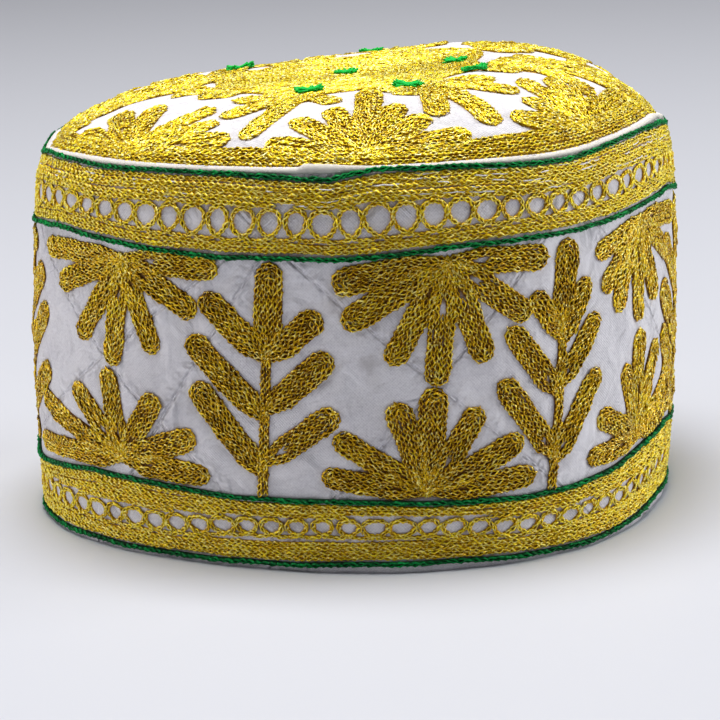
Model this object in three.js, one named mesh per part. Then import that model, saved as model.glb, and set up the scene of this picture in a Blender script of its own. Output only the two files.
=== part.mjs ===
// A prayer cap of white quilted cotton, standing on its rim.
//
// An oval side wall carries a low domed crown. A white cord is sewn over the
// seam between them, and dense bands of gold embroidery stand proud of the wall
// along both of its edges and of the crown round its middle.
//
// Millimetres, +Z up. The rim lies on Z = 0, the cap's width runs along X, and
// its front, the long side that shows most of the pattern, faces -Y.

import * as THREE from 'three';
import { mergeVertices } from 'three/addons/utils/BufferGeometryUtils.js';

// Driving dimensions
const columns = 72;           // facets round the cap
const clothThick = 2.0;       // two layers of cotton with their quilting
const gap = 0.3;              // between neighbouring pieces
const seamHeight = 119.6;     // from the rim to the crown's seam
const wallTop = 118.1;        // the wall stops just under the seam cord
const seamCordRadius = 1.2;
const seamCordInset = 0.6;    // from the wall's outer face to the cord's middle
const embroideryThick = 0.8;  // what the rows of gold thread stand proud

// The plan is an oval that changes from the rim to the seam as the soft wall leans
const rimOval = { halfWide: 97.2, halfDeep: 81.2, lean: -4.5, x: -0.2, y: 0.5 };
const seamOval = { halfWide: 95.8, halfDeep: 83.7, lean: 7.5, x: 4.64, y: 1.4 };
const wallBelly = 0.028;      // share by which the wall swells at half its height

// Soft corners of the plan: lobes round the oval, as shares of its radius
const planLobes = [
  { count: 3, cosShare: -0.015, sinShare: 0.015 },
  { count: 4, cosShare: -0.006, sinShare: 0.015 },
];

// How far the seam sags, by the angle from +X, counter-clockwise from above
const seamSag = [
  { angle: 0, drop: 4.3 },
  { angle: 6, drop: 5.0 },
  { angle: 13, drop: 5.9 },
  { angle: 18, drop: 5.6 },
  { angle: 24, drop: 3.6 },
  { angle: 32, drop: 1.0 },
  { angle: 42, drop: 0.0 },
  { angle: 150, drop: 0.2 },
  { angle: 160, drop: 1.2 },
  { angle: 170, drop: 1.6 },
  { angle: 178, drop: 3.0 },
  { angle: 184, drop: 3.6 },
  { angle: 191, drop: 1.8 },
  { angle: 198, drop: 0.8 },
  { angle: 210, drop: 0.0 },
  { angle: 345, drop: 0.0 },
  { angle: 354, drop: 2.0 },
];

// The crown: a low dome, highest towards the right and the back, dimpled in the middle
const dome = { rise: 12.6, rightRise: 3.4, backRise: -0.8, flatness: 3.6 };
const dimple = { depth: 2.5, reachShare: 0.35 };
const crownFolds = [
  { x: 62, y: 45, reach: 52, lift: 2.6 },
  { x: -13, y: 47, reach: 28, lift: -1.0 },
];

// Embroidered bands on the wall, by height, and the round field on the crown
const bands = [
  { name: 'upper_border', low: 93.6, high: 117.4 },
  { name: 'lower_border', low: 1.0, high: 22.4 },
];
const medallionShare = 0.45;  // of the crown's radius

// Heights at which the wall bends, and shares of the radius at which the crown does
const wallLevels = [0, 20, 40, 60, 80, 100, wallTop];
const crownShares = [0, 0.21, medallionShare, 0.6, 0.76, 0.88, 0.96, 1];
const cordSides = 8;

const materials = {
  cotton: new THREE.MeshStandardMaterial({ name: 'white_cotton', color: 0xe6e4ec, roughness: 0.9, metalness: 0 }),
  cord: new THREE.MeshStandardMaterial({ name: 'white_cord', color: 0xf2f0f2, roughness: 0.85, metalness: 0 }),
  gold: new THREE.MeshStandardMaterial({ name: 'gold_thread', color: 0xc9a227, roughness: 0.4, metalness: 0.6 }),
};

const turn = 2 * Math.PI;
const mix = (low, high, share) => low + (high - low) * share;
const smooth = (share) => share * share * (3 - 2 * share);

// The seam's drop at an angle in radians, eased from row to row of the table
function dropAt(angle) {
  const degrees = ((angle / turn) * 360 + 360) % 360;
  const next = seamSag.findIndex((row) => row.angle > degrees);
  const after = next < 0 ? { angle: 360, drop: seamSag[0].drop } : seamSag[next];
  const before = next < 0 ? seamSag[seamSag.length - 1] : seamSag[next - 1];
  const share = (degrees - before.angle) / (after.angle - before.angle);
  return mix(before.drop, after.drop, smooth(share));
}

// A point of the bare plan at a share of the height, 0 at the rim and 1 at the seam
function planPoint(angle, share) {
  const at = (key) => mix(rimOval[key], seamOval[key], share);
  let swell = 1 + wallBelly * 4 * share * (1 - share);
  for (const lobe of planLobes) {
    swell += lobe.cosShare * Math.cos(lobe.count * angle) + lobe.sinShare * Math.sin(lobe.count * angle);
  }
  const x = at('halfWide') * Math.cos(angle) * swell + at('x');
  const y = (at('lean') * Math.cos(angle) + at('halfDeep') * Math.sin(angle)) * swell + at('y');
  return new THREE.Vector2(x, y);
}

// The same point moved straight out of the plan by a distance, or in by a negative one
function offsetPoint(angle, share, proud) {
  const step = 0.01;
  const along = planPoint(angle + step, share).sub(planPoint(angle - step, share)).normalize();
  return planPoint(angle, share).add(new THREE.Vector2(along.y, -along.x).multiplyScalar(proud));
}

// A point on the wall: proud is 0 on its outer face
function wallPoint(angle, height, proud) {
  const share = height / seamHeight;
  const { x, y } = offsetPoint(angle, share, proud);
  return new THREE.Vector3(x, y, height - dropAt(angle) * share);
}

// A point on the crown's top at a share of its radius, raised by lift
const crownInset = seamCordInset + seamCordRadius + gap;
function crownPoint(angle, share, lift) {
  const edge = offsetPoint(angle, 1, -crownInset);
  const x = mix(seamOval.x, edge.x, share);
  const y = mix(seamOval.y, edge.y, share);
  const right = (x - seamOval.x) / seamOval.halfWide;
  const back = (y - seamOval.y) / seamOval.halfDeep;
  let rise = dome.rise + dome.rightRise * right + dome.backRise * back;
  rise -= dimple.depth * Math.exp(-((share / dimple.reachShare) ** 2));
  for (const fold of crownFolds) {
    const away = ((x - fold.x) ** 2 + (y - fold.y) ** 2) / fold.reach ** 2;
    rise += fold.lift * Math.exp(-away);
  }
  const z = seamHeight - dropAt(angle) * share ** 3 + rise * (1 - share ** dome.flatness);
  return new THREE.Vector3(x, y, z + lift);
}

// A closed skin through one section for each column. A section is a list of points
// that runs counter-clockwise seen with +Z up and the outside to the right. Where
// isLoop is false its two ends are poles on the cap's axis.
function skin(sectionAt, isLoop) {
  const sections = Array.from({ length: columns }, (_, column) => sectionAt((turn * column) / columns));
  const length = sections[0].length;
  const positions = [];
  const addTriangle = (...corners) => {
    const [a, b, c] = corners;
    const isFlat = a.distanceTo(b) < 1e-6 || b.distanceTo(c) < 1e-6 || c.distanceTo(a) < 1e-6;
    if (!isFlat) corners.forEach((corner) => positions.push(corner.x, corner.y, corner.z));
  };
  for (let column = 0; column < columns; column += 1) {
    const here = sections[column];
    const beside = sections[(column + 1) % columns];
    const steps = isLoop ? length : length - 1;
    for (let row = 0; row < steps; row += 1) {
      const above = (row + 1) % length;
      addTriangle(here[row], beside[row], beside[above]);
      addTriangle(here[row], beside[above], here[above]);
    }
  }
  const geometry = new THREE.BufferGeometry();
  geometry.setAttribute('position', new THREE.Float32BufferAttribute(positions, 3));
  const merged = mergeVertices(geometry, 1e-4);
  merged.computeVertexNormals();
  return merged;
}

// A band that follows the wall between two distances from its outer face
function wallBand(levels, inner, outer) {
  return skin((angle) => [
    ...levels.map((height) => wallPoint(angle, height, outer)),
    ...[...levels].reverse().map((height) => wallPoint(angle, height, inner)),
  ], true);
}

// A cloth disc that follows the crown out to the last share, between two lifts
function crownDisc(shares, low, high) {
  return skin((angle) => [
    ...shares.map((share) => crownPoint(angle, share, low)),
    ...[...shares].reverse().map((share) => crownPoint(angle, share, high)),
  ], false);
}

function seamCord() {
  return skin((angle) => {
    const inward = offsetPoint(angle, 1, -1).sub(planPoint(angle, 1));
    const middle = wallPoint(angle, seamHeight, -seamCordInset);
    return Array.from({ length: cordSides }, (_, side) => {
      const round = (turn * side) / cordSides;
      const out = -seamCordRadius * Math.cos(round);
      const up = seamCordRadius * Math.sin(round);
      return new THREE.Vector3(middle.x + inward.x * out, middle.y + inward.y * out, middle.z + up);
    });
  }, true);
}

function addPiece(group, name, geometry, material) {
  const mesh = new THREE.Mesh(geometry, material);
  mesh.name = name;
  group.add(mesh);
}

const cap = new THREE.Group();
addPiece(cap, 'side_wall', wallBand(wallLevels, -clothThick, 0), materials.cotton);
addPiece(cap, 'crown', crownDisc(crownShares, -clothThick, 0), materials.cotton);
addPiece(cap, 'seam_cord', seamCord(), materials.cord);

for (const band of bands) {
  const inside = wallLevels.filter((level) => level > band.low && level < band.high);
  const levels = [band.low, ...inside, band.high];
  addPiece(cap, band.name, wallBand(levels, gap, gap + embroideryThick), materials.gold);
}

const medallionShares = crownShares.filter((share) => share <= medallionShare);
addPiece(cap, 'crown_medallion', crownDisc(medallionShares, gap, gap + embroideryThick), materials.gold);

export default cap;
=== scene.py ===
import bpy
import numpy as np
from mathutils import Matrix, Vector


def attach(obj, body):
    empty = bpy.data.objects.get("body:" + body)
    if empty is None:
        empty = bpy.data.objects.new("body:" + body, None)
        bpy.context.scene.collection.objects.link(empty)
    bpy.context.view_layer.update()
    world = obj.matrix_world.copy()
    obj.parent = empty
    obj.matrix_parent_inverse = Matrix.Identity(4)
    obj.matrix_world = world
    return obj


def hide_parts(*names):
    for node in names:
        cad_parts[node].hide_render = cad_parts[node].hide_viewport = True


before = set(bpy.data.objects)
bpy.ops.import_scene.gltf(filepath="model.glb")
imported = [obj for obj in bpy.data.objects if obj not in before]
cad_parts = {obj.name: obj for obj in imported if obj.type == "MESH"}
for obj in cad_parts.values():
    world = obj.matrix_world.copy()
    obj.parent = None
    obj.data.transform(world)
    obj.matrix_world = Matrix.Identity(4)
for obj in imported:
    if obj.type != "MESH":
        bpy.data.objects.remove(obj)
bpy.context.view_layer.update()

mm = 0.001
luck = np.random.default_rng(7)
anyPhase = 6.28    # about one turn, the range of a wave's random phase


def newObject(name, data):
    made = bpy.data.objects.new(name, data)
    bpy.context.scene.collection.objects.link(made)
    return made


def newPiece(name, mesh):
    piece = newObject(name, mesh)
    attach(piece, "root")
    return piece


# Shape of the cap, in millimetres, the same as the solids have
capShape = {
    "seamHeight": 119.6,
    "wallTop": 118.1,
    "clothThick": 2.0,
    "rim": {"halfWide": 97.2, "halfDeep": 81.2, "lean": -4.5, "x": -0.2, "y": 0.5},
    "seam": {"halfWide": 95.8, "halfDeep": 83.7, "lean": 7.5, "x": 4.64, "y": 1.4},
    "belly": 0.028,
    "lobes": [(3, -0.015, 0.015), (4, -0.006, 0.015)],   # count, cosine share, sine share
    # angle from +X in degrees, drop of the seam
    "sag": [(0, 4.3), (6, 5.0), (13, 5.9), (18, 5.6), (24, 3.6), (32, 1.0), (42, 0.0), (150, 0.2),
            (160, 1.2), (170, 1.6), (178, 3.0), (184, 3.6), (191, 1.8), (198, 0.8), (210, 0.0),
            (345, 0.0), (354, 2.0), (360, 4.3)],
    "dome": {"rise": 12.6, "right": 3.4, "back": -0.8, "flatness": 3.6},
    "dimple": {"depth": 2.5, "reach": 0.35},
    "folds": [{"x": 62.0, "y": 45.0, "reach": 52.0, "lift": 2.6},
              {"x": -13.0, "y": 47.0, "reach": 28.0, "lift": -1.0}],
    "crownInset": 3.3,
    "shoulder": {"from": 106.0, "depth": 1.5},    # the wall rounds in under the seam
    "edgeBend": {"from": 0.935, "to": 1.018, "drop": 3.2},    # the crown's edge turns down into the seam
    "seamDip": {"angle": -54.0, "reach": 13.0, "cord": 1.1, "crown": 1.5},    # low at the right
    "crownRadius": 88.0,      # of the round flat pattern that the crown is cut from
}


def planPoint(angle, share):
    rim, seam = capShape["rim"], capShape["seam"]
    at = {key: rim[key] + (seam[key] - rim[key]) * share for key in rim}
    swell = 1 + capShape["belly"] * 4 * share * (1 - share)
    for count, cosShare, sinShare in capShape["lobes"]:
        swell = swell + cosShare * np.cos(count * angle) + sinShare * np.sin(count * angle)
    x = at["halfWide"] * np.cos(angle) * swell + at["x"]
    y = (at["lean"] * np.cos(angle) + at["halfDeep"] * np.sin(angle)) * swell + at["y"]
    return x, y


def offsetPoint(angle, share, proud):
    step = 0.01
    x, y = planPoint(angle, share)
    xAhead, yAhead = planPoint(angle + step, share)
    xBehind, yBehind = planPoint(angle - step, share)
    alongX, alongY = xAhead - xBehind, yAhead - yBehind
    size = np.hypot(alongX, alongY)
    return x + alongY / size * proud, y - alongX / size * proud


def seamDrop(angle):
    table = np.array(capShape["sag"])
    degrees = np.degrees(angle) % 360
    row = np.clip(np.searchsorted(table[:, 0], degrees, side="right") - 1, 0, len(table) - 2)
    share = (degrees - table[row, 0]) / (table[row + 1, 0] - table[row, 0])
    share = share * share * (3 - 2 * share)
    return table[row, 1] + (table[row + 1, 1] - table[row, 1]) * share


# Share of the low place at the right of the seam, from 0 to 1
def dipShare(angle):
    dip = capShape["seamDip"]
    away = (np.degrees(angle) - dip["angle"] + 180) % 360 - 180
    return np.exp(-(away / dip["reach"]) ** 2)


# The wall's flat pattern runs along the cap's outline at half height, from 0 in front
# of the cap to the right, and up from the rim
outlineAngles = np.linspace(-1.5 * np.pi, 0.5 * np.pi, 2881)
outlineX, outlineY = planPoint(outlineAngles, 0.5)
outlineArcs = np.concatenate([[0], np.cumsum(np.hypot(np.diff(outlineX), np.diff(outlineY)))])
girth = outlineArcs[-1]
outlineArcs = outlineArcs - np.interp(-0.5 * np.pi, outlineAngles, outlineArcs)


def wallAngle(arc):
    wrapped = (arc - outlineArcs[0]) % girth + outlineArcs[0]
    return np.interp(wrapped, outlineArcs, outlineAngles)


def wallBase(flat, proud):
    angle = wallAngle(flat[:, 0])
    share = flat[:, 1] / capShape["seamHeight"]
    shoulder = capShape["shoulder"]
    rounding = np.clip((flat[:, 1] - shoulder["from"]) / (capShape["wallTop"] - shoulder["from"]), 0, 1)
    x, y = offsetPoint(angle, share, proud - shoulder["depth"] * rounding ** 2)
    dip = capShape["seamDip"]["cord"] * dipShare(angle) * rounding ** 4
    return np.stack([x, y, flat[:, 1] - seamDrop(angle) * share - dip], 1)


def crownBase(flat, lift):
    angle = np.arctan2(flat[:, 1], flat[:, 0])
    share = np.hypot(flat[:, 0], flat[:, 1]) / capShape["crownRadius"]
    seam, dome, dimple = capShape["seam"], capShape["dome"], capShape["dimple"]
    edgeX, edgeY = offsetPoint(angle, 1, -capShape["crownInset"])
    x = seam["x"] + (edgeX - seam["x"]) * share
    y = seam["y"] + (edgeY - seam["y"]) * share
    rise = dome["rise"] + dome["right"] * (x - seam["x"]) / seam["halfWide"]
    rise = rise + dome["back"] * (y - seam["y"]) / seam["halfDeep"]
    rise = rise - dimple["depth"] * np.exp(-(share / dimple["reach"]) ** 2)
    for fold in capShape["folds"]:
        away = ((x - fold["x"]) ** 2 + (y - fold["y"]) ** 2) / fold["reach"] ** 2
        rise = rise + fold["lift"] * np.exp(-away)
    z = capShape["seamHeight"] - seamDrop(angle) * share ** 3 + rise * (1 - share ** dome["flatness"])
    bend = capShape["edgeBend"]
    bent = np.clip((share - bend["from"]) / (bend["to"] - bend["from"]), 0, 1) ** 2
    z = z - (bend["drop"] + capShape["seamDip"]["crown"] * dipShare(angle)) * bent
    return np.stack([x, y, z + lift], 1)


# A soft surface is its base shape plus a relief map over the flat pattern
class SoftSurface:
    def __init__(self, base, low, high, counts, wraps):
        self.base = base
        self.low = np.array(low, float)
        self.wraps = wraps
        self.cell = (np.array(high, float) - low) / counts
        self.size = np.array(counts) + [0 if wraps else 1, 1]
        self.relief = np.zeros(self.size)

    def cells(self):
        across, up = np.indices(self.size)
        return across * self.cell[0] + self.low[0], up * self.cell[1] + self.low[1]

    def place(self, flat):
        place = (flat - self.low) / self.cell
        if self.wraps:
            place[:, 0] %= self.size[0]
        else:
            place[:, 0] = np.clip(place[:, 0], 0, self.size[0] - 1.001)
        place[:, 1] = np.clip(place[:, 1], 0, self.size[1] - 1.001)
        return place

    def sample(self, field, flat):
        place = self.place(flat)
        corner = place.astype(int)
        part = place - corner
        i, j = corner[:, 0] % self.size[0], corner[:, 1]
        beside = (i + 1) % self.size[0]
        low = field[i, j] * (1 - part[:, 1]) + field[i, j + 1] * part[:, 1]
        high = field[beside, j] * (1 - part[:, 1]) + field[beside, j + 1] * part[:, 1]
        return low * (1 - part[:, 0]) + high * part[:, 0]

    def point(self, flat, proud=0.0):
        return self.base(flat, proud + self.sample(self.relief, flat))

    def normal(self, flat):
        step = 0.6
        right = self.base(flat + [step, 0], 0.0) - self.base(flat - [step, 0], 0.0)
        up = self.base(flat + [0, step], 0.0) - self.base(flat - [0, step], 0.0)
        normal = np.cross(right, up)
        return normal / np.linalg.norm(normal, axis=1, keepdims=True)

    # how much of the cloth near each cell lies under these rows, from 0 to 1
    def nearness(self, rows, radius, gain):
        marks = np.zeros(self.size)
        place = self.place(np.concatenate(rows)).astype(int)
        marks[place[:, 0], place[:, 1]] = 1
        return np.clip(blurred(marks, radius, self.wraps) * gain, 0, 1)


def blurred(field, radius, wraps):
    kernel = np.exp(-0.5 * (np.arange(-3 * radius, 3 * radius + 1) / radius) ** 2)
    kernel /= kernel.sum()
    for axis in (0, 1):
        pad = [(3 * radius if axis == side else 0,) * 2 for side in (0, 1)]
        padded = np.pad(field, pad, mode="wrap" if wraps and axis == 0 else "edge")
        field = np.apply_along_axis(lambda line: np.convolve(line, kernel, "valid"), axis, padded)
    return field


reliefCells = {"wall": (780, 160), "crown": (240, 240)}
wallCloth = SoftSurface(wallBase, (-girth / 2, 0), (girth / 2, 120), reliefCells["wall"], True)
crownReach = capShape["crownRadius"] + 3
crownCloth = SoftSurface(crownBase, (-crownReach, -crownReach), (crownReach, crownReach),
                         reliefCells["crown"], False)


# Camera at the photo's angle. Its place and lens were worked out from the cap's stitched lines
cameraView = {
    "place": (1.386, -845.31, 260.48),
    "lookDown": 0.25302,
    "roll": 0.03624,
    "focal": 2801.67,       # in pixels of the 720 pixel picture
    "picture": 720,
    "middle": (360.0, 359.5),
}


def makeCamera():
    data = bpy.data.cameras.new("camera")
    data.sensor_width = 36
    data.lens = data.sensor_width * cameraView["focal"] / cameraView["picture"]
    data.clip_start = 0.05
    data.clip_end = 50
    camera = newObject("camera", data)
    down, roll = cameraView["lookDown"], cameraView["roll"]
    level = Vector((1, 0, 0))
    above = Vector((0, np.sin(down), np.cos(down)))
    ahead = Vector((0, np.cos(down), -np.sin(down)))
    right = level * np.cos(roll) - above * np.sin(roll)
    up = level * np.sin(roll) + above * np.cos(roll)
    turn = Matrix((right, up, -ahead)).transposed().to_4x4()
    camera.matrix_world = Matrix.Translation(Vector(cameraView["place"]) * mm) @ turn
    bpy.context.scene.camera = camera


makeCamera()
print("camera placed")


# One helper for shader trees and geometry trees: node() puts down a node, sets its
# settings first and then the values or links of its sockets
class NodeKit:
    def __init__(self, tree):
        self.tree = tree

    def node(self, kind, settings=None, inputs=None, output=0):
        made = self.tree.nodes.new(kind)
        for name, value in (settings or {}).items():
            if name == "stops":
                self.setStops(made.color_ramp, value)
            else:
                setattr(made, name, value)
        for name, value in (inputs or {}).items():
            socket = made.inputs[name]
            if isinstance(value, Wire):
                self.tree.links.new(value.socket, socket)
            else:
                socket.default_value = value
        return Wire(self, made.outputs[output]) if made.outputs else made

    def setStops(self, ramp, stops):
        while len(ramp.elements) < len(stops):
            ramp.elements.new(0.5)
        for element, (position, colour) in zip(ramp.elements, stops):
            element.position = position
            element.color = colour

    def geo(self, kind, inputs):
        return self.node("GeometryNode" + kind, {}, inputs)

    def mixColour(self, share, first, second):
        return self.node("ShaderNodeMix", {"data_type": "RGBA"}, {0: share, 6: first, 7: second}, 2)

    def noise(self, place, scale, detail, **more):
        inputs = {"Vector": place, "Scale": scale, "Detail": detail, **more}
        return self.node("ShaderNodeTexNoise", {}, inputs)

    def bump(self, strength, distance, height):
        return self.node("ShaderNodeBump", {}, {"Strength": strength, "Distance": distance, "Height": height})

    def attribute(self, name):
        return self.node("ShaderNodeAttribute", {"attribute_name": name}, output=2)

    def stored(self, geometry, name, value, domain="POINT"):
        return self.node("GeometryNodeStoreNamedAttribute", {"data_type": "FLOAT", "domain": domain},
                         {"Geometry": geometry, "Name": name, "Value": value})

    def random(self, low, high, seed):
        inputs = {2: low, 3: high, "Seed": seed}
        return self.node("FunctionNodeRandomValue", {"data_type": "FLOAT"}, inputs, 1)

    def resampled(self, curve, step):
        return self.node("GeometryNodeResampleCurve", {"mode": "LENGTH"}, {"Curve": curve, "Length": step})

    def swept(self, curve, section, **more):
        return self.geo("CurveToMesh", {"Curve": curve, "Profile Curve": section, **more})


# A socket that can be added to, taken from, multiplied and divided by others or by numbers
class Wire:
    def __init__(self, kit, socket):
        self.kit = kit
        self.socket = socket

    def math(self, operation, *others):
        inputs = {place: value for place, value in enumerate((self, *others))}
        return self.kit.node("ShaderNodeMath", {"operation": operation}, inputs)

    def __add__(self, other):
        return self.math("ADD", other)

    def __sub__(self, other):
        return self.math("SUBTRACT", other)

    def __mul__(self, other):
        return self.math("MULTIPLY", other)

    def __truediv__(self, other):
        return self.math("DIVIDE", other)

    def __rsub__(self, other):
        return (self * -1.0) + other

    __radd__ = __add__
    __rmul__ = __mul__

    def axis(self, number):
        return self.kit.node("ShaderNodeSeparateXYZ", {}, {0: self}, number)

    def clamped(self, low=0.0, high=1.0):
        return self.math("MAXIMUM", low).math("MINIMUM", high)

    def smoothStep(self, low, high):
        return self.kit.node("ShaderNodeMapRange", {"interpolation_type": "SMOOTHSTEP"},
                             {"Value": self, "From Min": low, "From Max": high})


def newMaterial(name, fixed):
    material = bpy.data.materials.new(name)
    material.use_nodes = True
    material.node_tree.nodes.clear()
    kit = NodeKit(material.node_tree)
    surface = kit.node("ShaderNodeBsdfPrincipled", {}, fixed)
    kit.node("ShaderNodeOutputMaterial", {}, {0: surface})
    return material, kit, surface.socket.node


def feed(kit, shader, **wires):
    names = {"colour": "Base Color", "roughness": "Roughness", "normal": "Normal"}
    for key, wire in wires.items():
        kit.tree.links.new(wire.socket, shader.inputs[names[key]])


# Thread: painted shade deep in the stitches, painted light on top and painted glints, set by the lift of each
# point, with each stitch a little different in tone
threadColumns = ("paintedShadeDeep", "low", "top", "paintedGlint", "paintedGlintShare", "metallic", "roughness", "glitter", "specular")
threadLooks = {
    "goldThread": ((0.11, 0.033, 0.0005, 1), (0.74, 0.42, 0.004, 1), (1.0, 0.82, 0.03, 1),
                   (1.0, 0.92, 0.32, 1), 0.8, 0.68, 0.34, 0.5, 0.4),
    # the crown's gold is the same thread as goldThread, a lit copy painted brighter and yellower
    "litCrownGoldThread": ((0.34, 0.17, 0.001, 1), (0.86, 0.60, 0.006, 1), (1.0, 0.92, 0.04, 1),
                        (1.0, 0.97, 0.45, 1), 0.9, 0.58, 0.40, 0.5, 0.4),
    "greenThread": ((0.0, 0.025, 0.006, 1), (0.0, 0.15, 0.032, 1), (0.0, 0.40, 0.07, 1),
                    (0.03, 0.50, 0.13, 1), 0.5, 0.0, 0.5, 0.15, 0.12),
    "tuftThread": ((0.0, 0.26, 0.02, 1), (0.0, 0.50, 0.05, 1), (0.01, 0.74, 0.11, 1),
                   (0.05, 0.65, 0.16, 1), 0.5, 0.0, 0.5, 0.15, 0.2),
    "whiteThread": ((0.60, 0.58, 0.60, 1), (0.84, 0.83, 0.86, 1), (0.95, 0.94, 0.96, 1),
                    (0.9, 0.9, 0.9, 1), 0.2, 0.0, 0.6, 0.1, 0.3),
}
# Noise scales, in waves for each metre, and how much each of them tells in the colour. Lift paints shade low
# in the stitches and light on top
threadNoise = {"fine": 1900.0, "broad": 90.0, "grain": 1300.0}
threadShadeAndTone = {"lift": 0.7, "tone": 0.4, "fine": 1.3, "broad": 0.3}
# where glints are painted on the thread: grain noise over a threshold, more of them on top
paintedGlintMask = {"lift": 0.16, "tone": 0.05, "from": 0.67, "to": 0.77}


def threadMaterial(name):
    look = dict(zip(threadColumns, threadLooks[name]))
    fixed = {"Metallic": look["metallic"], "Specular IOR Level": look["specular"]}
    material, kit, shader = newMaterial(name, fixed)
    lift, tone = kit.attribute("lift"), kit.attribute("tone")
    place = kit.node("ShaderNodeTexCoord", output=3)
    fine = kit.noise(place, threadNoise["fine"], 3.0, Roughness=0.65)
    broad = kit.noise(place, threadNoise["broad"], 1.0)
    # painted shade and light: the lower a point of the thread lies, the darker its colour; tone and noise add
    # random differences
    share = lift * threadShadeAndTone["lift"] + (tone - 0.5) * threadShadeAndTone["tone"]
    share = share + (fine - 0.5) * threadShadeAndTone["fine"] + (broad - 0.5) * threadShadeAndTone["broad"]
    stops = [(0.0, look["paintedShadeDeep"]), (0.45, look["low"]), (0.95, look["top"])]
    colour = kit.node("ShaderNodeValToRGB", {"stops": stops}, {"Fac": share.clamped()})
    grain = kit.noise(place, threadNoise["grain"], 2.0)
    # painted glints: bright spots mixed into the colour where the grain noise peaks
    paintedGlint = grain + lift * paintedGlintMask["lift"] + tone * paintedGlintMask["tone"]
    paintedGlint = paintedGlint.smoothStep(paintedGlintMask["from"], paintedGlintMask["to"])
    colour = kit.mixColour(paintedGlint * look["paintedGlintShare"], colour, look["paintedGlint"])
    roughness = (fine - 0.5) * look["glitter"] + (tone - 0.5) * 0.2 + look["roughness"]
    bump = kit.bump(0.6, 0.0003, fine)
    feed(kit, shader, colour=colour, roughness=roughness.clamped(0.12, 0.9), normal=bump)
    return material


# Lines of quilting cross the wall both ways between the flowers: the arc and height of
# each end. All show in front, and the first three repeat round the back
quilting = {"dip": 0.8, "repeat": 97.3, "repeats": range(2, 5), "lines": [
    (-19.0, 90.5, 56.5, 24.0), (-30.8, 91.8, -74.0, 23.0), (50.0, 90.0, -5.0, 26.0),
    (-112.0, 88.0, -40.8, 23.0), (-118.0, 32.5, -46.0, 88.0), (78.0, 90.5, 140.0, 26.0)]}


def quiltEnds():
    ends = list(quilting["lines"])
    for turn in quilting["repeats"]:
        shift = turn * quilting["repeat"]
        ends += [(low + shift, lowHeight, high + shift, highHeight)
                 for low, lowHeight, high, highHeight in quilting["lines"][:3]]
    return np.array(ends)


def quiltLines():
    steps = np.linspace(0, 1, 90)[:, None]
    return [ends[:2] + (ends[2:] - ends[:2]) * steps for ends in quiltEnds()]


# White cotton: a plain weave with slubs, with painted shade where the stitches press it down and along the
# quilting
cottonLook = {
    "bright": (0.83, 0.815, 0.84, 1), "shade": (0.54, 0.52, 0.56, 1),
    "shadedThreadUnderWall": (0.20, 0.095, 0.012, 1), "litThreadUnderCrown": (0.48, 0.30, 0.02, 1),
    "threadsPerMetre": 2300.0, "roughness": 0.85,
    "grain": 1500.0, "slub": 420.0, "pucker": 330.0, "crease": 110.0, "broad": 38.0,    # noise scales
    "grooveHalf": 0.0009, "puckerReach": 0.0055, "relief": 0.0013,    # metres
    # arc and height of each stain in metres, its reach, strength and colour
    "stains": [
        ((0.0015, 0.0628, 0.0), 0.0045, 0.55, (0.40, 0.37, 0.36, 1)),
        ((0.0030, 0.0580, 0.0), 0.0040, 0.25, (0.45, 0.42, 0.40, 1)),
        ((-0.0085, 0.0798, 0.0), 0.0050, 0.30, (0.46, 0.40, 0.34, 1)),
    ],
}


# How far the cloth lies from the nearest line of quilting, in metres
def quiltAway(kit, flat):
    nearest = None
    for ends in quiltEnds():
        start, way = ends[:2], ends[2:] - ends[:2]
        across = np.array([way[1], -way[0]]) / np.hypot(*way)
        run = kit.node("ShaderNodeVectorMath", {"operation": "DOT_PRODUCT"}, {0: flat, 1: (*across, 0.0)}, 1)
        away = (run - float(across @ start) * mm).math("ABSOLUTE")
        nearest = away if nearest is None else nearest.math("MINIMUM", away)
    return nearest


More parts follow.
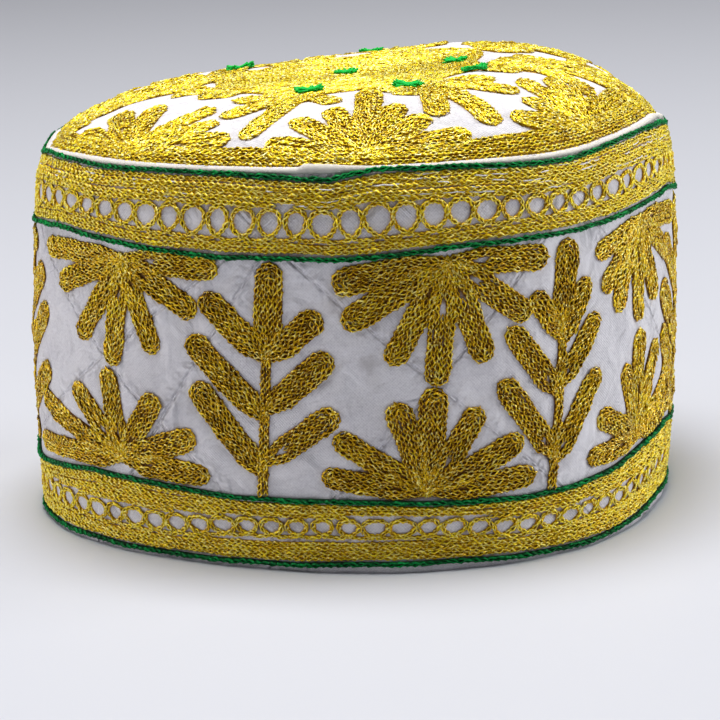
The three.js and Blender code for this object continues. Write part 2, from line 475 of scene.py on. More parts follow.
def cottonMaterial(name, isWall):
    look = cottonLook
    material, kit, shader = newMaterial(name, {"Roughness": look["roughness"]})
    flat = kit.node("ShaderNodeUVMap", {"uv_map": "flat"})
    near = kit.attribute("cover")
    weave = kit.node("ShaderNodeVectorMath", {"operation": "SCALE"}, {
        0: flat, "Scale": look["threadsPerMetre"]})
    warp, weft = [(weave.axis(number) * np.pi).math("SINE") for number in (0, 1)]
    cloth = (warp * weft) * 0.5 + 0.5
    grain = kit.noise(flat, look["grain"], 2.0)
    slub = kit.noise(flat, look["slub"], 3.0)
    broad = kit.noise(flat, look["broad"], 2.0)
    crease = kit.noise(flat, look["crease"], 2.0, Distortion=0.8)
    # painted shade where stitches cover the cloth, with the cloth's own blotches, slubs, grain and weave
    shade = near * 0.4 + (broad - 0.5) * 1.1 + (slub - 0.5) * 0.6 + (grain - 0.5) * 1.2 + cloth * 0.4
    height = cloth * 0.08 + grain * 0.08 + slub * 0.15 + crease * 1.4 + broad * 4.5
    if isWall:
        away = quiltAway(kit, flat)
        groove = 1.0 - away.smoothStep(0.0, look["grooveHalf"])
        pucker = kit.noise(flat, look["pucker"], 1.0)
        # painted shade in the quilting grooves
        shade = shade + groove * (slub * 0.9 - 0.1)
        height = height - groove * 0.35 + pucker * (1.0 - away.smoothStep(0.0, look["puckerReach"])) * 1.6
    colour = kit.mixColour(shade.clamped(), look["bright"], look["shade"])
    for spot, reach, strength, stain in look["stains"] if isWall else ():
        away = kit.node("ShaderNodeVectorMath", {"operation": "DISTANCE"}, {0: flat, 1: spot}, 1)
        share = (1.0 - away / reach + (slub - 0.5) * 0.8).smoothStep(0.0, 0.9)
        colour = kit.mixColour(share * strength, colour, stain)
    # under the stitches, the thread's own gold between the rows, in painted shade on the wall and painted lit
    # on the crown
    under = look["shadedThreadUnderWall" if isWall else "litThreadUnderCrown"]
    colour = kit.mixColour(near.smoothStep(0.45, 1.0), colour, under)
    feed(kit, shader, colour=colour, normal=kit.bump(1.0, look["relief"], height))
    return material


cordLook = {"bright": (0.84, 0.81, 0.74, 1), "shade": (0.58, 0.54, 0.47, 1), "roughness": 0.85,
            "noise": 700.0, "twist": 2300.0, "turn": 6.283}    # a turn in radians for the twist


def cordMaterial():
    material, kit, shader = newMaterial("whiteCord", {"Roughness": cordLook["roughness"]})
    flat = kit.node("ShaderNodeUVMap", {"uv_map": "flat"})
    twist = (flat.axis(0) * cordLook["twist"] + flat.axis(1) * cordLook["turn"]).math("SINE")
    noise = kit.noise(flat, cordLook["noise"], 3.0)
    shade = ((noise - 0.5) * 1.2 + 0.35).clamped()
    colour = kit.mixColour(shade, cordLook["bright"], cordLook["shade"])
    feed(kit, shader, colour=colour, normal=kit.bump(0.5, 0.0004, twist * 0.2 + noise))
    return material


# Stitches by kind: lengths in millimetres under the names of the tree's inputs, how much
# the sizes differ and how high the rows lie on the cloth
stitchSizes = {
    "gold": {"lengths": {"Length": 1.9, "Width": 1.8, "Thread": 0.38, "Core": 1.3, "Strand Step": 3.6},
             "jitter": 0.18, "lift": 0.0},
    "ring": {"lengths": {"Length": 1.8, "Width": 1.5, "Thread": 0.35, "Core": 1.0, "Strand Step": 2.6},
             "jitter": 0.18, "lift": 0.1},
    "green": {"lengths": {"Length": 2.2, "Width": 1.6, "Thread": 0.44, "Core": 1.15, "Strand Step": 3.0},
              "jitter": 0.16, "lift": 0.4},
}
stitchSwing = (0.35, 0.12, 0.28)    # how far a stitch turns off its row, in radians


# A geometry tree with named inputs between the geometry and the material
def newTree(name, sockets):
    tree = bpy.data.node_groups.new(name, "GeometryNodeTree")
    for label, kind in [("Geometry", "Geometry"), *sockets, ("Material", "Material")]:
        tree.interface.new_socket(label, in_out="INPUT", socket_type="NodeSocket" + kind)
    tree.interface.new_socket("Geometry", in_out="OUTPUT", socket_type="NodeSocketGeometry")
    kit = NodeKit(tree)
    given = tree.nodes.new("NodeGroupInput")
    return kit, [Wire(kit, given.outputs[place]) for place in range(len(sockets) + 2)]


def finishTree(kit, geometry, material):
    smooth = kit.geo("SetShadeSmooth", {"Geometry": geometry})
    whole = kit.geo("RealizeInstances", {"Geometry": smooth})
    finished = kit.geo("SetMaterial", {"Geometry": whole, "Material": material})
    kit.node("NodeGroupOutput", {}, {0: finished})
    return kit.tree


# The tree that works thread along guide lines: looped stitches over a core painted in deep shade
def chainTree():
    names = ("Length", "Width", "Thread", "Core", "Jitter", "Tone", "Strand Step")
    kit, wires = newTree("chainStitch", [(name, "Float") for name in names] + [("Seed", "Int")])
    geometry, length, width, thread, core, jitter, bright, strandStep, seed, material = wires
    guide = kit.geo("MeshToCurve", {"Mesh": geometry})
    rows = kit.resampled(guide, length)

    # one link: a ring pulled long, narrow behind, its front lifted over the next one
    ring = kit.geo("CurvePrimitiveCircle", {"Resolution": 4, "Radius": 1.0})
    spot = kit.node("GeometryNodeInputPosition")
    spotX, spotY = spot.axis(0), spot.axis(1)
    shaped = kit.node("ShaderNodeCombineXYZ", {}, {
        0: spotX * length * 0.72, 1: spotY * (width * 0.5 - thread * 0.7), 2: thread * (spotX * 0.42 + 1.25)})
    bent = kit.geo("SetPosition", {"Geometry": ring, "Position": shaped})
    section = kit.geo("CurvePrimitiveCircle", {"Resolution": 3, "Radius": thread})
    height = kit.node("GeometryNodeInputPosition").axis(2)
    # lift: the height of each point of the link, which paints shade low down and light on top
    link = kit.stored(kit.swept(bent, section), "lift", height / (thread * 2.7))

    # placed along the rows, flat on the cloth, each one a little off
    up = kit.node("GeometryNodeInputNamedAttribute", {"data_type": "FLOAT_VECTOR"}, {"Name": "up"})
    along = kit.node("GeometryNodeInputTangent")
    turn = kit.node("FunctionNodeAxesToRotation", {"primary_axis": "Z", "secondary_axis": "X"},
                    {0: up, 1: along})
    swing = kit.node("FunctionNodeRandomValue", {"data_type": "FLOAT_VECTOR"}, {
        0: tuple(-most for most in stitchSwing), 1: stitchSwing, "Seed": seed}, 0)
    turn = kit.node("FunctionNodeRotateRotation", {"rotation_space": "LOCAL"}, {
        "Rotation": turn, 1: kit.node("FunctionNodeEulerToRotation", {}, {0: swing})})
    links = kit.geo("InstanceOnPoints", {
        "Points": rows, "Instance": link, "Rotation": turn,
        "Scale": kit.random(1.0 - jitter, jitter + 1.0, seed + 1.0)})
    links = kit.stored(links, "tone", kit.random(bright - 0.5, bright + 0.5, seed + 2.0), "INSTANCE")
    links = kit.geo("RealizeInstances", {"Geometry": links})

    # the flat strand of thread under the links, which shows through their holes, painted in deep shade by a
    # lift of 0
    faced = kit.node("GeometryNodeSetCurveNormal", {"mode": "FREE"}, {
        "Curve": kit.resampled(guide, strandStep), "Normal": up})
    coreSection = kit.geo("CurvePrimitiveQuadrilateral", {
        "Width": thread * 2.0, "Height": core})
    strand = kit.swept(faced, coreSection, **{"Fill Caps": True})
    # lift 0 paints the core in the deepest shade
    strand = kit.stored(kit.stored(strand, "lift", 0.0), "tone", bright)
    joined = kit.geo("JoinGeometry", {0: links})
    kit.tree.links.new(strand.socket, joined.socket.node.inputs[0])
    return finishTree(kit, joined, material)


# A plain round thread laid along guide lines, for tufts and the quilter's stitches
def threadTree():
    kit, wires = newTree("laidThread", [("Thread", "Float"), ("Sides", "Int"), ("Seed", "Int")])
    geometry, thread, sides, seed, material = wires
    rows = kit.geo("MeshToCurve", {"Mesh": geometry})
    section = kit.geo("CurvePrimitiveCircle", {"Resolution": sides, "Radius": thread})
    strand = kit.swept(rows, section, **{"Fill Caps": True})
    strand = kit.stored(strand, "tone", kit.random(0.0, 1.0, seed))
    return finishTree(kit, kit.stored(strand, "lift", 0.8), material)


def socketIdentifier(tree, name):
    for item in tree.interface.items_tree:
        if item.item_type == "SOCKET" and item.in_out == "INPUT" and item.name == name:
            return item.identifier


# Guide lines: polylines along the rows on the cloth, with the cloth's normal on them
def guideLines(cloth, rows, lifts):
    lines = [cloth.point(row, lift) for row, lift in zip(rows, lifts)]
    edges = []
    start = 0
    for line in lines:
        steps = np.arange(start, start + len(line) - 1)
        edges.append(np.stack([steps, steps + 1], 1))
        start += len(line)
    mesh = bpy.data.meshes.new("guide")
    mesh.from_pydata((np.concatenate(lines) * mm).tolist(), np.concatenate(edges).tolist(), [])
    up = mesh.attributes.new("up", "FLOAT_VECTOR", "POINT")
    up.data.foreach_set("vector", np.concatenate([cloth.normal(row) for row in rows]).ravel())
    return newObject("guide", mesh)


def grown(name, guide, tree, values):
    modifier = guide.modifiers.new("grow", "NODES")
    modifier.node_group = tree
    for key, value in values.items():
        modifier[socketIdentifier(tree, key)] = value
    evaluated = guide.evaluated_get(bpy.context.evaluated_depsgraph_get())
    mesh = bpy.data.meshes.new_from_object(evaluated)
    bpy.data.objects.remove(guide)
    mesh.name = name
    print(name, "has", sum(len(face.vertices) - 2 for face in mesh.polygons), "triangles")
    return newPiece(name, mesh)


chain = chainTree()
laid = threadTree()


def stitched(name, cloth, rows, kind, material, seed, tone):
    sizes = stitchSizes[kind]
    lifts = luck.uniform(-0.08, 0.12, len(rows)) + sizes["lift"]
    values = {key: size * mm for key, size in sizes["lengths"].items()}
    values.update({"Jitter": sizes["jitter"], "Tone": tone, "Seed": seed, "Material": material})
    return grown(name, guideLines(cloth, rows, lifts), chain, values)


def threaded(name, cloth, rows, lifts, radius, material, seed):
    values = {"Thread": radius * mm, "Sides": 4, "Seed": seed, "Material": material}
    return grown(name, guideLines(cloth, rows, lifts), laid, values)


# Heights of the four green lines along the front of the wall, as the hand-led needle set
# them: arc, the line under the seam, the one under the upper border, the one over the
# lower border, and the one over the hem
greenLines = [
    (-292, 116.2, 94.5, 21.5, 1.9),
    (-150, 116.6, 95.0, 20.5, 1.8),
    (-120, 117.3, 96.0, 19.6, 1.6),
    (-105, 116.9, 96.8, 21.6, 1.4),
    (-88, 116.2, 96.0, 23.8, 1.6),
    (-65, 116.6, 94.2, 23.4, 1.7),
    (-40, 116.4, 93.0, 22.1, 1.9),
    (-20, 115.3, 93.1, 21.8, 2.2),
    (-10, 114.9, 92.6, 22.0, 2.6),
    (3, 117.3, 93.2, 21.6, 2.8),
    (28, 117.1, 95.0, 20.5, 2.7),
    (48, 115.6, 95.1, 19.8, 2.0),
    (65, 115.1, 94.8, 19.9, 1.5),
    (85, 116.5, 95.5, 21.4, 1.6),
    (104, 116.6, 96.2, 24.0, 2.6),
    (122, 115.4, 96.2, 25.2, 3.4),
    (160, 116.0, 95.0, 22.5, 2.4),
    (292, 116.2, 94.5, 21.5, 1.9),
]


def greenLine(arcs, column):
    table = np.array(greenLines)
    return np.interp(wrappedArc(arcs), table[:, 0], table[:, column])


def wrappedArc(arcs):
    return (arcs + girth / 2) % girth - girth / 2


# A row round the whole wall, which wanders by up to so much from its height
def ringOfWall(heightAt, wander=0.25):
    arcs = np.arange(-girth / 2, girth / 2 + 1.0, 1.0)
    arcs[-1] = girth / 2
    phases = zip((5, 11, 19), luck.uniform(0, anyPhase, 3))
    waves = sum(np.sin(arcs / girth * 2 * np.pi * count + phase) for count, phase in phases)
    return np.stack([arcs, heightAt(arcs) + waves * wander / 3], 1)


# Borders: rows by their distance from the green lines, and a line of rings between, which
# is given by arc, height over the lower green line and how tall its rings are
borderShape = {"overRings": 0.9, "underRings": 0.4, "ringSteps": 28, "ringWidths": (0.88, 1.1)}
borders = {
    "upper": {"topLine": 1, "bottomLine": 2, "topRows": (1.8, 3.3, 4.8, 6.3, 7.8), "bottomRows": (2.1, 3.6),
              "rings": 74, "ringHalfWide": 5.4, "ringBand": [
                  (-292, 4.9, 7.8), (-120, 4.9, 7.4), (-105, 4.9, 6.2), (-88, 4.9, 6.3), (-65, 4.9, 8.5),
                  (-40, 4.9, 9.5), (-15, 4.9, 8.4), (3, 4.9, 10.2), (28, 4.9, 8.2), (48, 4.9, 6.6),
                  (65, 4.9, 6.4), (104, 4.9, 6.5), (122, 4.9, 5.3), (160, 4.9, 7.1), (292, 4.9, 7.8)]},
    "lower": {"topLine": 3, "bottomLine": 4, "topRows": (1.8, 3.3, 4.8, 6.3, 7.8),
              "bottomRows": (1.9, 3.3, 4.7, 6.1),
              "rings": 76, "ringHalfWide": 5.2, "ringBand": [
                  (-292, 6.8, 5.6), (-90, 6.0, 6.4), (-57, 6.1, 6.4), (-50, 7.1, 5.6), (-39, 8.2, 5.2),
                  (-19, 8.3, 5.4), (23, 7.6, 5.4), (46, 6.2, 5.4), (63, 6.7, 5.2), (120, 6.8, 5.6),
                  (292, 6.8, 5.6)]},
}


def ringBand(border, arcs):
    table = np.array(border["ringBand"])
    wrapped = wrappedArc(arcs)
    low = greenLine(arcs, border["bottomLine"]) + np.interp(wrapped, table[:, 0], table[:, 1])
    return low, low + np.interp(wrapped, table[:, 0], table[:, 2])


# A row stops where it would run under the rings
def clearOfRings(border, row):
    low, high = ringBand(border, row[:, 0])
    free = (row[:, 1] > high + borderShape["overRings"]) | (row[:, 1] < low - borderShape["underRings"])
    turns = np.flatnonzero(np.diff(free.astype(int))) + 1
    parts = zip(np.split(row, turns), np.split(free, turns))
    return [part for part, isFree in parts if isFree[0] and len(part) > 5]


def borderRows(border):
    rows = []
    for line, aways, side in ((border["topLine"], border["topRows"], -1),
                              (border["bottomLine"], border["bottomRows"], 1)):
        for away in aways:
            row = ringOfWall(lambda arcs, line=line, off=away * side: greenLine(arcs, line) + off)
            rows += clearOfRings(border, row)
    turns = np.linspace(0, border["rings"] * 2 * np.pi, border["rings"] * borderShape["ringSteps"])
    centre = turns / (2 * np.pi * border["rings"]) * girth - girth / 2
    which = (turns / (2 * np.pi)).astype(int)
    widths = luck.uniform(*borderShape["ringWidths"], border["rings"] + 1)[which]
    low, high = ringBand(border, centre)
    arcs = centre + np.sin(turns) * border["ringHalfWide"] * widths
    heights = (high + low) / 2 - np.cos(turns) * (high - low) / 2
    return rows, np.stack([arcs, heights], 1)


# A petal is filled with nested turns of stitches, out along one side and back along the
# other. Towards its root it is as narrow as its share of the flower
petalFill = {"rowPitch": 1.42, "step": 0.9, "rootWidth": 1.0, "widest": 40.0, "tipTurns": 7,
             "waver": 0.08, "wavers": (1.9, 3.7)}


def wavering(count, step):
    phase = luck.uniform(0, anyPhase, 2)
    along = np.arange(count) * step
    first, second = petalFill["wavers"]
    return petalFill["waver"] * (np.sin(along / first + phase[0]) + np.sin(along / second + phase[1]))


def petalRows(root, angle, length, width, shares, apart=0.0):
    half = width / 2
    slopes = np.tan(np.radians(np.minimum(shares, petalFill["widest"])))
    count = max(2, round(width / petalFill["rowPitch"]))
    pitch = width / count
    capStart = length - half
    side = np.arange(0, capStart, petalFill["step"])
    reaches = [np.minimum(half, petalFill["rootWidth"] + side * slope - apart) for slope in slopes]
    placed = []
    direction = np.radians(angle)
    for inset in np.arange(pitch / 2, half + 0.05, pitch):
        radius = half - inset
        if radius < 0.3:
            alongs = np.arange(half / max(slopes), length - pitch * 0.6, petalFill["step"])
            acrosses = np.zeros(len(alongs))
        else:
            left, right = side[reaches[0] > inset], side[reaches[1] > inset]
            turns = np.linspace(np.pi / 2, -np.pi / 2, petalFill["tipTurns"])[1:-1]
            alongs = np.concatenate([left, capStart + radius * np.cos(turns), right[::-1]])
            acrosses = np.concatenate([
                reaches[0][reaches[0] > inset] - inset, radius * np.sin(turns),
                inset - reaches[1][reaches[1] > inset][::-1]])
        if len(alongs) < 3:
            continue
        acrosses = acrosses + wavering(len(acrosses), petalFill["step"])
        x = root[0] + alongs * np.cos(direction) - acrosses * np.sin(direction)
        y = root[1] + alongs * np.sin(direction) + acrosses * np.cos(direction)
        placed.append(np.stack([x, y], 1))
    return placed


# A flower's petals share the room round its hub
def flowerRows(hub, petals, outerShare=16.0, apart=0.0):
    ordered = sorted(petals)
    angles = [petal[0] for petal in ordered]
    halves = [(high - low) / 2 for low, high in zip(angles, angles[1:])]
    before, after = [outerShare] + halves, halves + [outerShare]
    rows = []
    for (angle, length, width), low, high in zip(ordered, before, after):
        rows += petalRows(hub, angle, length, width, (high, low), apart)
    return rows


# Half flowers on the wall: hub arc and height, then a petal's angle, length and width
hangingFlowers = [
    {"arc": -75.5, "height": 90.5, "petals": [
        (181, 36, 6.6), (202, 30, 7.2), (238, 31, 6.8), (265, 33, 7.2), (295, 30, 6.8),
        (331, 30, 7.4), (358, 33, 7.4)]},
    {"arc": 23.5, "height": 91.0, "petals": [
        (189, 33, 8.2), (210, 34, 8.0), (241, 33, 7.2), (265, 36, 7.6), (291, 32, 7.6),
        (323, 31, 7.8), (356, 31, 7.6)]},
    {"arc": 98.0, "height": 92.0, "petals": [
        (193, 26, 6.4), (217, 28, 6.8), (236, 29, 6.8), (264, 30, 7.0), (289, 27, 7.0),
        (327, 28, 7.0), (353, 32, 7.0)]},
]
risingFlowers = [
    {"arc": -76.5, "height": 29.0, "petals": [
        (183, 43, 6.6), (162, 42, 7.0), (131, 28, 7.6), (98, 28, 7.4), (57, 26, 7.4),
        (21, 29, 7.8), (-3, 31, 7.2)]},
    {"arc": 18.8, "height": 24.0, "petals": [
        (170, 31, 6.6), (147, 32, 7.0), (110, 29, 7.8), (88, 31, 8.0), (59, 28, 7.4),
        (26, 31, 7.8), (4, 32, 7.0)]},
    {"arc": 97.8, "height": 27.0, "petals": [
        (181, 27, 6.6), (153, 26, 7.0), (114, 26, 7.4), (94, 33, 7.4), (69, 29, 7.2),
        (28, 33, 7.4), (8, 35, 7.0)]},
]

# Leaf sprays: the stem's foot and top, then a leaf's height on the stem, angle, length, width
leafSprays = [
    {"foot": (-29.0, 23.5), "top": (-27.0, 92.0), "leaves": [
        (63.5, 137, 27, 8.0), (46.0, 135, 33, 8.0), (29.0, 129, 34, 8.0),
        (63.5, 41, 21, 8.0), (48.0, 42, 26, 8.0), (32.5, 37, 27, 7.6)]},
    {"foot": (57.0, 21.0), "top": (61.5, 93.0), "leaves": [
        (64.5, 126, 18, 6.6), (48.0, 128, 28, 7.2), (30.0, 126, 31, 7.2),
        (63.0, 60, 20, 6.8), (50.0, 53, 24, 6.8), (28.0, 57, 30, 7.0)]},
    {"foot": (444.5, 24.0), "top": (446.5, 92.0), "leaves": [
        (67.5, 137, 24, 8.0), (49.0, 135, 30, 8.0), (31.0, 129, 32, 8.0),
        (66.0, 41, 26, 8.0), (50.0, 42, 31, 8.0), (33.5, 37, 31, 7.6)]},
]

# Seven columns of flowers go round. Three are listed above and the rest repeat them at
# these arcs. A spray is given by its kind and its arc
repeats = {"flowers": [178.0, 262.0, 341.0, 424.0],
           "sprays": [(0, -29.0), (1, 57.0), (0, 137.0), (1, 219.0), (0, 300.0), (1, 374.0), (2, 444.5)]}
sprayShape = {"leafShare": 24.0, "tipFrom": 0.58, "tipLength": 0.42, "tipWidth": 8.4, "tipShare": 20.0,
              "stemTo": 0.62, "stemApart": 0.8}


def wallPattern():
    hanging, rising, sprays = [], [], []
    shown = len(hangingFlowers)
    for number in range(shown + len(repeats["flowers"])):
        kind = number % shown
        shift = repeats["flowers"][number - shown] - hangingFlowers[kind]["arc"] if number >= shown else 0.0
        for flower, rows in ((hangingFlowers[kind], hanging), (risingFlowers[kind], rising)):
            rows += flowerRows((flower["arc"] + shift, flower["height"]), flower["petals"])
    leafShares, tipShares = (sprayShape["leafShare"],) * 2, (sprayShape["tipShare"],) * 2
    for kind, arc in repeats["sprays"]:
        spray = leafSprays[kind]
        foot, stem = np.array(spray["foot"]), np.array(spray["top"]) - spray["foot"]
        shift = arc - foot[0]
        for height, angle, length, width in spray["leaves"]:
            root = foot + stem * (height - foot[1]) / stem[1]
            sprays += petalRows((root[0] + shift, root[1]), angle, length, width, leafShares)
        middle = foot + stem * sprayShape["tipFrom"]
        lean = np.degrees(np.arctan2(stem[1], stem[0]))
        length = np.hypot(*stem) * sprayShape["tipLength"]
        sprays += petalRows((middle[0] + shift, middle[1]), lean, length, sprayShape["tipWidth"], tipShares)
        steps = np.linspace(0, sprayShape["stemTo"], 44)[:, None]
        for side in (-1, 1):
            sprays.append(foot + [shift + side * sprayShape["stemApart"], 0] + stem * steps)
    return hanging, rising, sprays


# The crown's pattern by angle from +X and share of the crown's radius. The flowers that
# show in front are listed, and the rest repeat one of their kind
crownPattern = {
    "middle": (-3.0, -3.5),
    "medallion": {"radius": 42.0, "scallops": 8, "scallopPhase": -67.0, "scallopDepth": 0.05, "steps": 6.3},
    "edgeRows": (-0.4, 0.8, 2.0, 3.2, 4.3),
    "apart": 0.7,         # between neighbouring petals
    "tufts": [(139, 0.53), (248, 0.45), (132, 0.07), (0, 0.32), (322, 0.47), (288, 0.46), (86, 0.59)],
}
# Flowers by the hub and the petals' tips. The one to repeat is named by its place
edgeFlowers = {
    "width": 7.6, "outerShare": 12.0, "repeated": 0, "repeats": (0, 44, 88, 132, 175), "shown": [
        {"hub": (270, 0.99), "tips": [
            (251, 0.94), (254, 0.79), (262, 0.70), (273, 0.51), (279, 0.70), (284, 0.80), (290, 0.92)]},
        {"hub": (316, 0.985), "tips": [
            (300, 0.88), (309, 0.78), (320, 0.66), (330, 0.72), (336, 0.80), (343, 0.92)]},
        {"hub": (222, 0.995), "tips": [
            (201, 0.95), (198, 0.80), (207, 0.72), (228, 0.69), (236, 0.80), (243, 0.91)]}]}
outFlowers = {
    "width": 7.2, "outerShare": 14.0, "repeated": 1, "repeats": (345, 32, 76, 120, 160), "shown": [
        {"hub": (250, 0.50), "tips": [(228, 0.61), (234, 0.76), (246, 0.91), (263, 0.65)]},
        {"hub": (297, 0.45), "tips": [
            (277, 0.53), (281, 0.60), (286, 0.81), (296, 0.90), (311, 0.74), (315, 0.60)]},
        {"hub": (204, 0.45), "tips": [(187, 0.60), (195, 0.63), (213, 0.60), (221, 0.58)]}]}


def crownPoint(angle, share):
    turn = np.radians(angle)
    return share * capShape["crownRadius"] * np.array([np.cos(turn), np.sin(turn)])


def crownFlower(flower, turn, kind):
    hub = crownPoint(flower["hub"][0] + turn, flower["hub"][1])
    ways = [crownPoint(angle + turn, share) - hub for angle, share in flower["tips"]]
    headings = [np.degrees(np.arctan2(way[1], way[0])) for way in ways]
    middle = np.median([heading % 360 for heading in headings])
    petals = [((heading - middle + 180) % 360 - 180 + middle, np.hypot(*way), kind["width"])
              for heading, way in zip(headings, ways)]
    return flowerRows(hub, petals, kind["outerShare"], crownPattern["apart"])


def crownFlowers(kind):
    repeated = kind["shown"][kind["repeated"]]
    turned = [(flower, 0.0) for flower in kind["shown"]]
    turned += [(repeated, angle - repeated["hub"][0]) for angle in kind["repeats"]]
    return [row for flower, turn in turned for row in crownFlower(flower, turn, kind)]


def crownRows():
    medallion = []
    field = crownPattern["medallion"]
    phase = np.radians(field["scallopPhase"])
    for ring in np.arange(1.0, field["radius"], petalFill["rowPitch"]):
        turns = np.linspace(0, 2 * np.pi, max(12, int(ring * field["steps"])))
        depth = field["scallopDepth"] * (ring / field["radius"]) ** 2
        reach = ring * (1 - depth + depth * np.cos(field["scallops"] * (turns - phase)))
        medallion.append(crownPattern["middle"] + np.stack([reach * np.cos(turns), reach * np.sin(turns)], 1))
    edge, outer = crownFlowers(edgeFlowers), crownFlowers(outFlowers)
    turns = np.linspace(0, 2 * np.pi, 560)
    circle = np.stack([np.cos(turns), np.sin(turns)], 1)
    rim = [(capShape["crownRadius"] - away) * circle for away in crownPattern["edgeRows"]]
    return medallion, outer, edge, rim


# Green tufts on the crown: short threads laid side by side, a little fanned
tuftShape = {"threads": 46, "halfLength": 3.0, "halfWidth": 2.0, "flare": 0.9, "radius": 0.27,
             "heading": 0.5, "sizes": (0.75, 1.2), "lean": 0.5, "swing": 0.3, "reach": (0.6, 1.25),
             "waist": 0.6, "lift": 0.7}


def tuftLines():
    lines, lifts = [], []
    steps = np.linspace(-1, 1, 7)
    for angle, share in crownPattern["tufts"]:
        middle = crownPoint(angle, share)
        heading = luck.uniform(-tuftShape["heading"], tuftShape["heading"])
        size = luck.uniform(*tuftShape["sizes"])
        lean = luck.uniform(-tuftShape["lean"], tuftShape["lean"])
        for _ in range(tuftShape["threads"]):
            swing = heading + luck.normal(0, tuftShape["swing"])
            along = np.array([np.cos(swing), np.sin(swing)])
            beside = np.array([-along[1], along[0]])
            shift = luck.uniform(-1, 1) * tuftShape["halfWidth"]
            reach = size * tuftShape["halfLength"] * luck.uniform(*tuftShape["reach"])
            spread = shift * (tuftShape["waist"] + (1 - tuftShape["waist"]) * np.abs(steps))
            lines.append(middle + beside * spread[:, None] + along * (steps * reach)[:, None])
            flare = tuftShape["flare"] * luck.uniform() * (1 + lean * np.sign(steps))
            low = tuftShape["lift"] + luck.uniform(0, tuftShape["lift"])
            lifts.append(low + flare * np.abs(steps) ** 1.5)
    return lines, lifts


# White threads: the quilter's running stitches and loose ends of the ground cloth that
# show between the gold rows of the upper border, more of them from looseFrom on
whiteThreads = {"stitch": 2.4, "gap": 1.0, "radius": 0.17, "stitchLifts": (-0.15, 0.16, 0.16, -0.15),
                "looseRows": (1.3, 2.6, 4.1, 5.6, 7.1), "looseShare": 0.24, "looseLength": 3.6,
                "looseRadius": 0.2, "looseFrom": -15, "looseGain": 1.7, "looseLoss": 0.5, "looseEnd": 12,
                "looseLifts": (0.2, 0.9, 1.1, 1.1, 0.9, 0.2)}


def quiltStitches():
    lines = []
    for line in quiltRows:
        run = np.concatenate([[0], np.cumsum(np.hypot(*np.diff(line, axis=0).T))])
        for start in np.arange(0, run[-1] - 3, whiteThreads["stitch"] + whiteThreads["gap"]):
            along = start + np.linspace(0, whiteThreads["stitch"], 4)
            lines.append(np.stack([np.interp(along, run, line[:, side]) for side in (0, 1)], 1))
    return lines, [np.array(whiteThreads["stitchLifts"])] * len(lines)


def looseThreads():
    lines, lifts = [], []
    for away in whiteThreads["looseRows"]:
        arc = -girth / 2
        while arc < girth / 2 - whiteThreads["looseEnd"]:
            gain = whiteThreads["looseGain" if arc > whiteThreads["looseFrom"] else "looseLoss"]
            length = whiteThreads["looseLength"] * gain * luck.uniform(0.5, 1.6)
            if luck.uniform() < whiteThreads["looseShare"] * gain:
                arcs = arc + np.linspace(0, length, 6)
                heights = greenLine(arcs, 1) - away + luck.normal(0, 0.2) + luck.normal(0, 0.1, 6)
                lines.append(np.stack([arcs, heights], 1))
                lifts.append(0.65 * np.array(whiteThreads["looseLifts"]) + luck.uniform(-0.1, 0.1))
            arc += length
    return lines, lifts


upperRows, upperRings = borderRows(borders["upper"])
lowerRows, lowerRings = borderRows(borders["lower"])
ringRows = [upperRings, lowerRings]
hangingRows, risingRows, sprayRows = wallPattern()
medallionRows, outerRows, edgeRows, rimRows = crownRows()
quiltRows = quiltLines()
greenRows = [ringOfWall(lambda arcs, line=line: greenLine(arcs, line), 0.12) for line in (1, 2, 3, 4)]


# Relief of the cloth: it puffs up between the stitches and dips along the quilting. The
# puffs differ by waves, so many round the cap, which sway with the height
puff = {"height": 1.3, "spread": 3, "wave": 0.5, "sink": 0.4, "calm": 3.0,
        "round": 13, "sway": (9.0, 1.7), "rise": 8.1, "turn": (7, 2.1), "grooveGain": 3.0,
        "nearGain": 2.0, "puffGain": 1.6, "filledFrom": 0.6, "filledGain": 5, "grooveUnderThread": 0.6}


def shapeRelief():
    wallRows = upperRows + lowerRows + ringRows + hangingRows + risingRows + sprayRows + greenRows
    crownCover = medallionRows + outerRows + edgeRows + rimRows
    seamAway = [capShape["wallTop"] - wallCloth.cells()[1],
                capShape["crownRadius"] - np.hypot(*crownCloth.cells())]
    for cloth, rows, away in ((wallCloth, wallRows, seamAway[0]), (crownCloth, crownCover, seamAway[1])):
        wide = cloth.nearness(rows, 2, puff["nearGain"])
        filled = np.clip((wide - puff["filledFrom"]) * puff["filledGain"], 0, 1)
        # near: where stitches lie over the cloth, which the cotton uses for painted shade and for the
        # thread's colour between the rows
        cloth.near = np.maximum(cloth.nearness(rows, 1, puff["nearGain"]), filled)
        near = cloth.nearness(rows, puff["spread"], puff["puffGain"])
        across, up = cloth.cells()
        turns = across / girth * 2 * np.pi
        waves = np.sin(turns * puff["round"] + np.sin(up / puff["sway"][0]) * puff["sway"][1])
        waves = waves * np.sin(up / puff["rise"] + np.sin(turns * puff["turn"][0]) * puff["turn"][1])
        cloth.relief = (puff["height"] + puff["wave"] * waves) * (1 - near)
        cloth.relief *= np.clip((away - puff["calm"]) / puff["calm"], 0, 1)
    wallCloth.relief -= puff["sink"]
    groove = wallCloth.nearness(quiltRows, 1, puff["grooveGain"])
    wallCloth.relief -= quilting["dip"] * groove * (1 - wallCloth.near * puff["grooveUnderThread"])


shapeRelief()
print("pattern laid out")


# A smooth mesh whose UV map, flat, is given in metres for each corner of each face
def patternedMesh(name, points, faces, uv):
    mesh = bpy.data.meshes.new(name)
    mesh.from_pydata((points * mm).tolist(), [], faces)
    mesh.uv_layers.new(name="flat").data.foreach_set("uv", uv.ravel())
    mesh.polygons.foreach_set("use_smooth", [True] * len(mesh.polygons))
    return mesh


